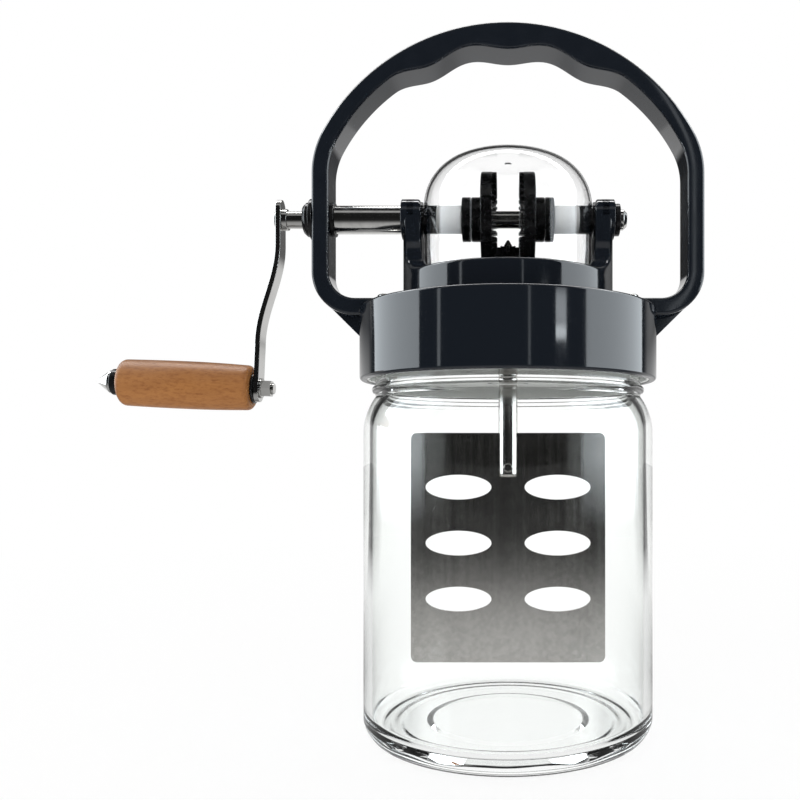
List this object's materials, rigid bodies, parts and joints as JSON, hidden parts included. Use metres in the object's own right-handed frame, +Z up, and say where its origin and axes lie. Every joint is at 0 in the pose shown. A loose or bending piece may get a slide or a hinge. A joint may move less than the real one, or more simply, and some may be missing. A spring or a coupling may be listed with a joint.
{
  "type": "butter churn",
  "caption": "Hand-cranked butter churn: clear glass jar with a dark screw lid, domed gear housing, arched carry handle, wooden crank grip and a flat perforated dasher.",
  "frame": {"origin": "on the jar's axis, on the table under its base", "axes": "+Z up along the jar's axis, +X along the crank shaft away from the crank, +Y away from the viewer"},
  "size_m": [0.2856, 0.1386, 0.33],
  "materials": {
    "jar_glass": "clear, with a faint green-grey tint at the edges",
    "dome_clear": "clear moulded plastic",
    "lid_plastic": "glossy, near-black navy",
    "black_plastic": "satin black",
    "nylon": "natural, slightly translucent",
    "steel": "plain steel",
    "bright_steel": "polished",
    "stainless": "rolled stainless sheet and bar",
    "bush_brass": "turned",
    "seal_rubber": "silicone",
    "grip_wood": "plain turned beech"
  },
  "bodies": {
    "jar": {"jar": "jar_glass"},
    "seal": {"gasket": "seal_rubber"},
    "lid": {"lid_cap": "lid_plastic", "gear_housing": "lid_plastic", "gear_dome": "dome_clear", "carry_handle": "lid_plastic", "handle_screws": "steel", "housing_screws": "steel", "handle_bush": "black_plastic", "handle_bush_ring": "black_plastic", "shaft_sleeve": "bright_steel", "left_ear_bush": "black_plastic", "right_ear_bush": "black_plastic", "left_spacer": "nylon", "right_spacer": "nylon", "rod_bush": "bush_brass", "rod_seal": "seal_rubber"},
    "crank": {"crank_shaft": "steel", "crank_arm": "steel", "drive_wheel": "black_plastic", "drive_wheel_pin": "steel", "left_set_collar": "black_plastic", "right_set_collar": "black_plastic", "set_screws": "steel", "idler_clip": "steel", "end_washer": "black_plastic", "end_nut": "bright_steel", "grip_spindle": "steel", "grip_inner_nut": "steel", "grip_arm_washer": "steel", "grip_thrust_washer": "black_plastic", "grip_end_washer": "black_plastic", "grip_cone_nut": "bright_steel"},
    "idler": {"idler_wheel": "black_plastic"},
    "dasher": {"dasher_rod": "stainless", "pinion": "black_plastic", "pinion_pin": "steel", "thrust_washer": "nylon", "paddle": "stainless", "paddle_rivet": "steel"},
    "grip": {"wood_grip": "grip_wood"}
  },
  "joints": [
    {"name": "lid_lift", "type": "slide", "parent": "jar", "child": "seal", "axis": [0, 0, 1], "range_m": [0, 0.18]},
    {"name": "lid_turn", "type": "hinge", "parent": "seal", "child": "lid", "pos_m": [0, 0, 0.19267], "axis": [0, 0, 1], "range_deg": [0, 450]},
    {"name": "crank_spin", "type": "hinge", "parent": "lid", "child": "crank", "pos_m": [0, 0, 0.24017], "axis": [1, 0, 0], "continuous": true},
    {"name": "idler_spin", "type": "hinge", "parent": "lid", "child": "idler", "pos_m": [0, 0, 0.24017], "axis": [1, 0, 0], "continuous": true},
    {"name": "dasher_spin", "type": "hinge", "parent": "lid", "child": "dasher", "pos_m": [0, 0, 0.19667], "axis": [0, 0, 1], "continuous": true},
    {"name": "grip_spin", "type": "hinge", "parent": "crank", "child": "grip", "pos_m": [-0.11827, 0, 0.16047], "axis": [-0.999, 0, 0.0436], "continuous": true}
  ],
  "couplings": [
    {"joint": "idler_spin", "follows": "crank_spin", "ratio": -1},
    {"joint": "dasher_spin", "follows": "crank_spin", "ratio": -3.3333}
  ]
}
